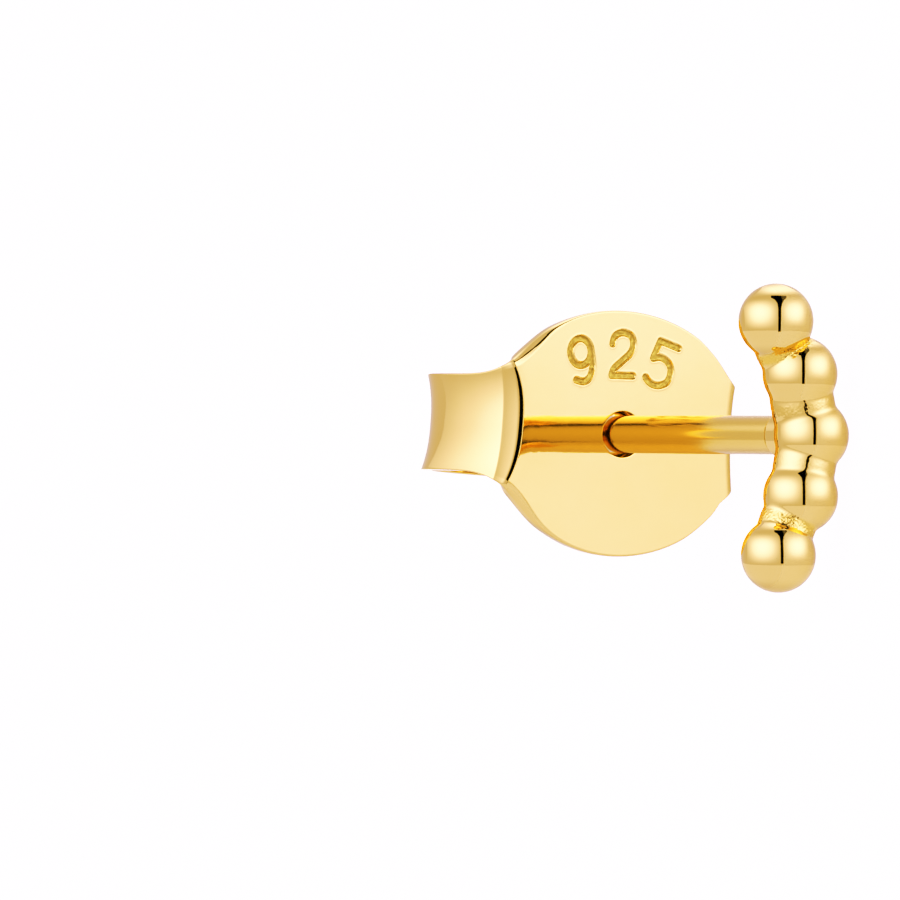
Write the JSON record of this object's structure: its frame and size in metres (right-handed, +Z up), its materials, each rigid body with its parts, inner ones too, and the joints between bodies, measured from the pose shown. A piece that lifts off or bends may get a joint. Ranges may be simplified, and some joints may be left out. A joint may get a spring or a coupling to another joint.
{
  "type": "stud earring with butterfly back",
  "caption": "Stud earring: a bowed bar of fused round beads on a straight ear post, held behind the lobe by a stamped scroll back.",
  "frame": {"origin": "on the surface that the earring rests on, under the centre of its bounding box", "axes": "+Z up; the post runs along +Y from the beads to the butterfly back, rising 16 degrees; +X runs across it, against the bar's upward direction as worn"},
  "size_m": [0.0062, 0.012, 0.0066],
  "materials": {
    "polished_gold": "mirror polished gold plate over silver, rough solder in the necks between the beads",
    "stamped_gold": "polished gold plate on stamped and rolled sheet"
  },
  "bodies": {
    "stud": {"beaded_stud": "polished_gold"},
    "back": {"butterfly_back": "stamped_gold"}
  },
  "joints": [
    {"name": "back_slide", "type": "slide", "parent": "stud", "child": "back", "axis": [0, 0.9606, 0.2778], "range_m": [-0.006, 0.005]}
  ]
}
